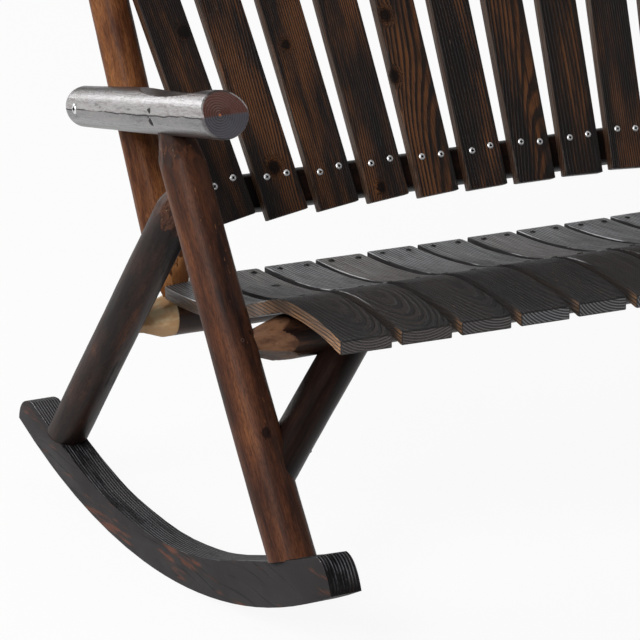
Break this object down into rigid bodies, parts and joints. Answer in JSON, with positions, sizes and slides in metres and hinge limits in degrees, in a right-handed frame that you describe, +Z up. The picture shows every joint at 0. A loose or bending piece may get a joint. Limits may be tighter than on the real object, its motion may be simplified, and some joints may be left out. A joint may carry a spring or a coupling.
{
  "type": "rocking bench",
  "caption": "Outdoor rocking bench with a contoured slatted seat, a fanned slatted back, and round log legs, rails, arms and braces on long curved rockers.",
  "frame": {"origin": "on the floor, midway between the bench's two sides and midway between the rockers' toes and heels", "axes": "+X along the bench to its right side as seen from the front, -Y the way the sitter faces, +Z up"},
  "size_m": [1.2876, 0.846, 0.975],
  "materials": {
    "charred_rocker": "charred and brushed board, dark grey sides, near-black ridged edges",
    "charred_board": "charred and brushed softwood, raised grain, blue-grey sheen on top, tan stripes on the sides",
    "umber_board": "charred and brushed softwood, near black with orange-brown grain stripes, satin",
    "warm_log": "peeled log, red-brown with dark streaks, satin oil",
    "dark_log": "peeled and charred log, grey-brown with a silver sheen, satin oil",
    "silver_steel": "bright zinc screw heads",
    "black_steel": "blackened screw and bolt heads"
  },
  "bodies": {
    "root": {"back_slat_01": "umber_board", "back_slat_02": "umber_board", "back_slat_03": "umber_board", "back_slat_04": "umber_board", "back_slat_05": "umber_board", "back_slat_06": "umber_board", "back_slat_07": "umber_board", "back_slat_08": "umber_board", "back_slat_09": "umber_board", "back_slat_10": "umber_board", "back_slat_11": "umber_board", "back_slat_12": "umber_board", "back_slat_13": "umber_board", "front_seat_rail": "warm_log", "left_arm": "dark_log", "left_arm_bolt": "silver_steel", "left_back_post": "warm_log", "left_brace": "warm_log", "left_brace_foot_screw": "black_steel", "left_brace_head_screw": "black_steel", "left_front_leg": "warm_log", "left_front_leg_bolt": "black_steel", "left_front_tenon_screw": "black_steel", "left_rear_leg": "dark_log", "left_rear_leg_bolt": "black_steel", "left_rear_tenon_screw": "black_steel", "left_rocker": "charred_rocker", "lower_back_rail": "warm_log", "rear_seat_rail": "dark_log", "right_arm": "dark_log", "right_arm_bolt": "silver_steel", "right_back_post": "warm_log", "right_brace": "warm_log", "right_brace_foot_screw": "black_steel", "right_brace_head_screw": "black_steel", "right_front_leg": "warm_log", "right_front_leg_bolt": "black_steel", "right_front_tenon_screw": "black_steel", "right_rear_leg": "dark_log", "right_rear_leg_bolt": "black_steel", "right_rear_tenon_screw": "black_steel", "right_rocker": "charred_rocker", "seat_slat_01": "charred_board", "seat_slat_02": "charred_board", "seat_slat_03": "charred_board", "seat_slat_04": "charred_board", "seat_slat_05": "charred_board", "seat_slat_06": "charred_board", "seat_slat_07": "charred_board", "seat_slat_08": "charred_board", "seat_slat_09": "charred_board", "seat_slat_10": "charred_board", "seat_slat_11": "charred_board", "seat_slat_12": "charred_board", "seat_slat_13": "charred_board", "seat_slat_14": "charred_board", "seat_slat_15": "charred_board", "upper_back_rail": "warm_log"}
  },
  "joints": []
}
